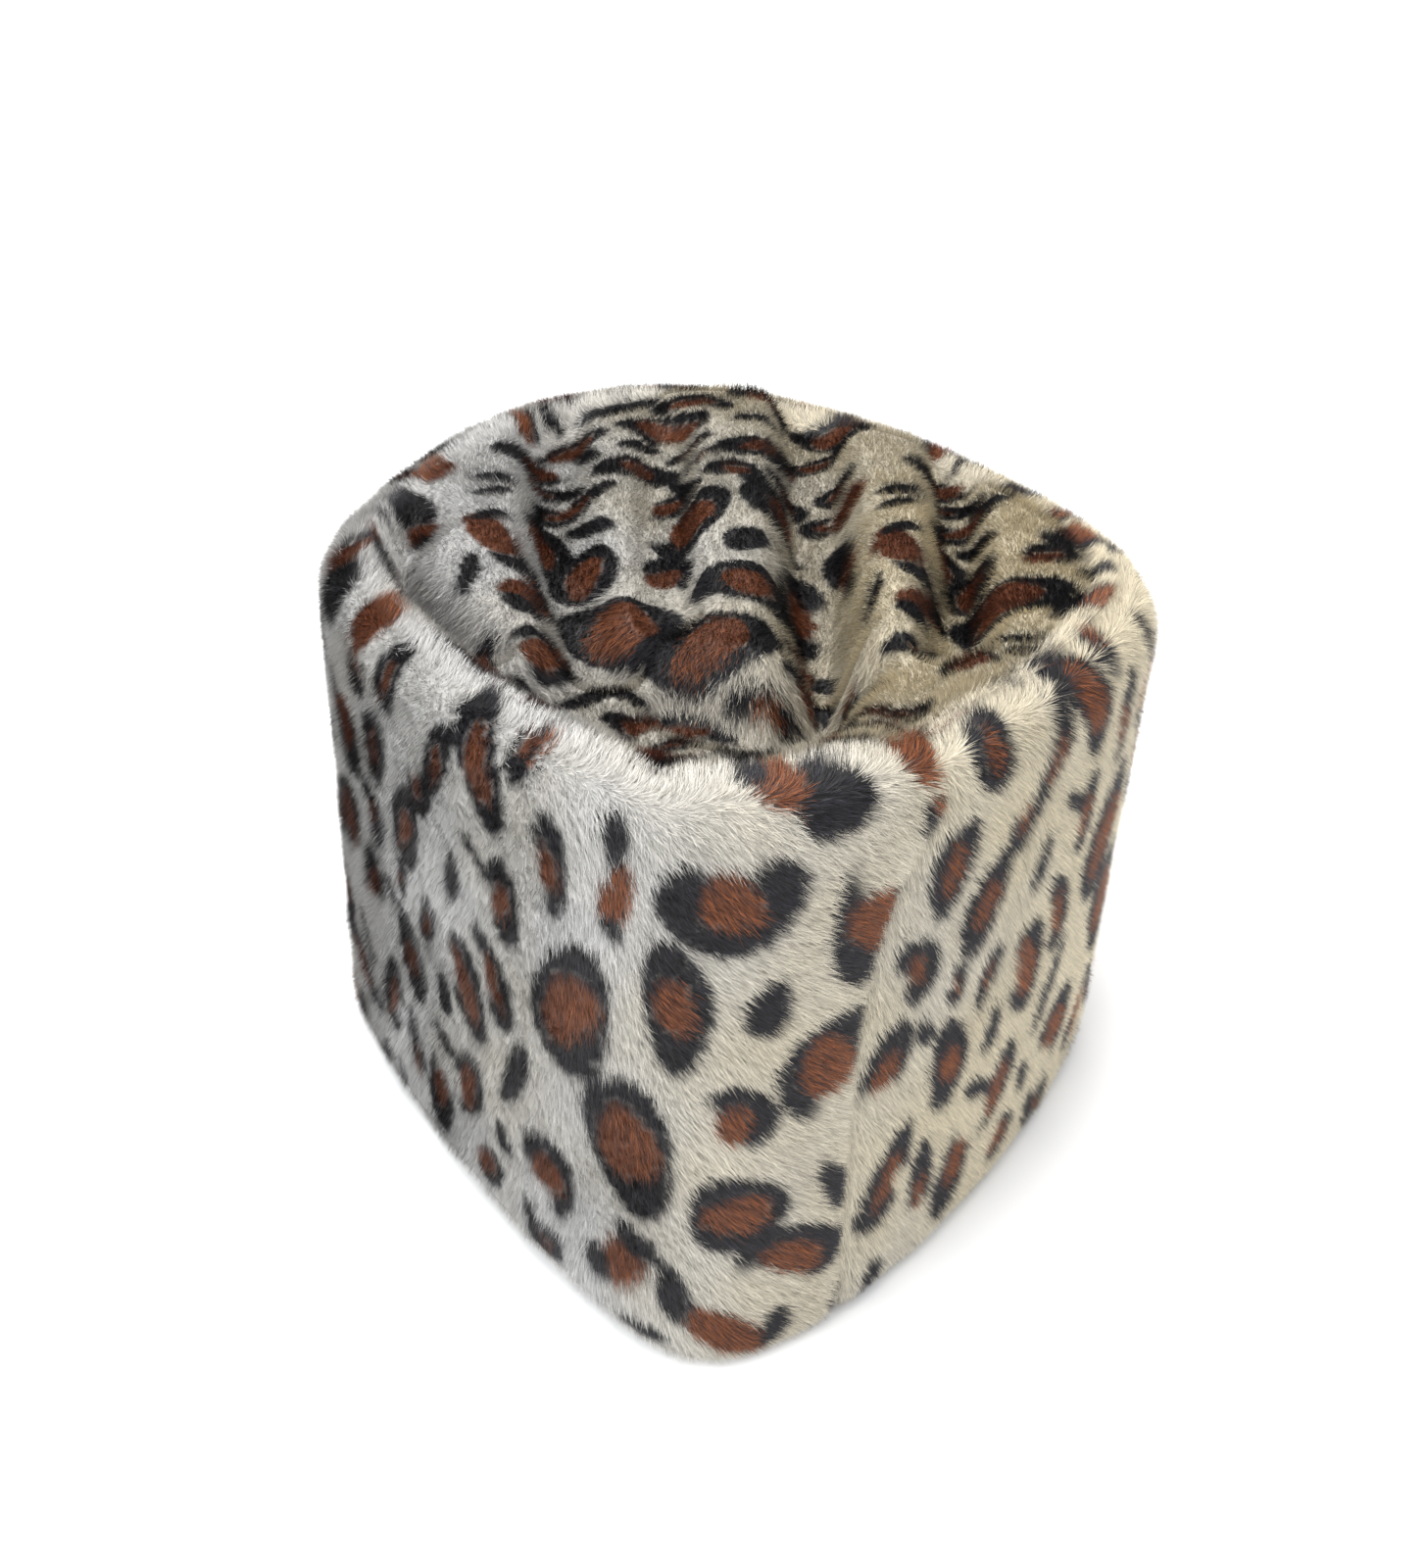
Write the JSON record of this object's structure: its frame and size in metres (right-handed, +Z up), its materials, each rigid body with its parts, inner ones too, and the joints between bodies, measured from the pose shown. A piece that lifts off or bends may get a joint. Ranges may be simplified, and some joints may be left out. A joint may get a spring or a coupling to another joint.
{
  "type": "kufi",
  "caption": "Deep brimless cap of short leopard-print fur cloth, standing on its foot, with a soft front corner and a gathered crown that dips into the band in folds.",
  "frame": {"origin": "middle of the plan on the surface the foot stands on", "axes": "+Z up, -Y towards the soft corner of the band, +X to the right seen from the corner"},
  "size_m": [0.1832, 0.2082, 0.1312],
  "materials": {
    "band_fur": "short printed pile, matt with fine glints",
    "crown_fur": "short printed pile, matt with fine glints"
  },
  "bodies": {
    "root": {"side_band": "band_fur", "crown": "crown_fur"}
  },
  "joints": []
}
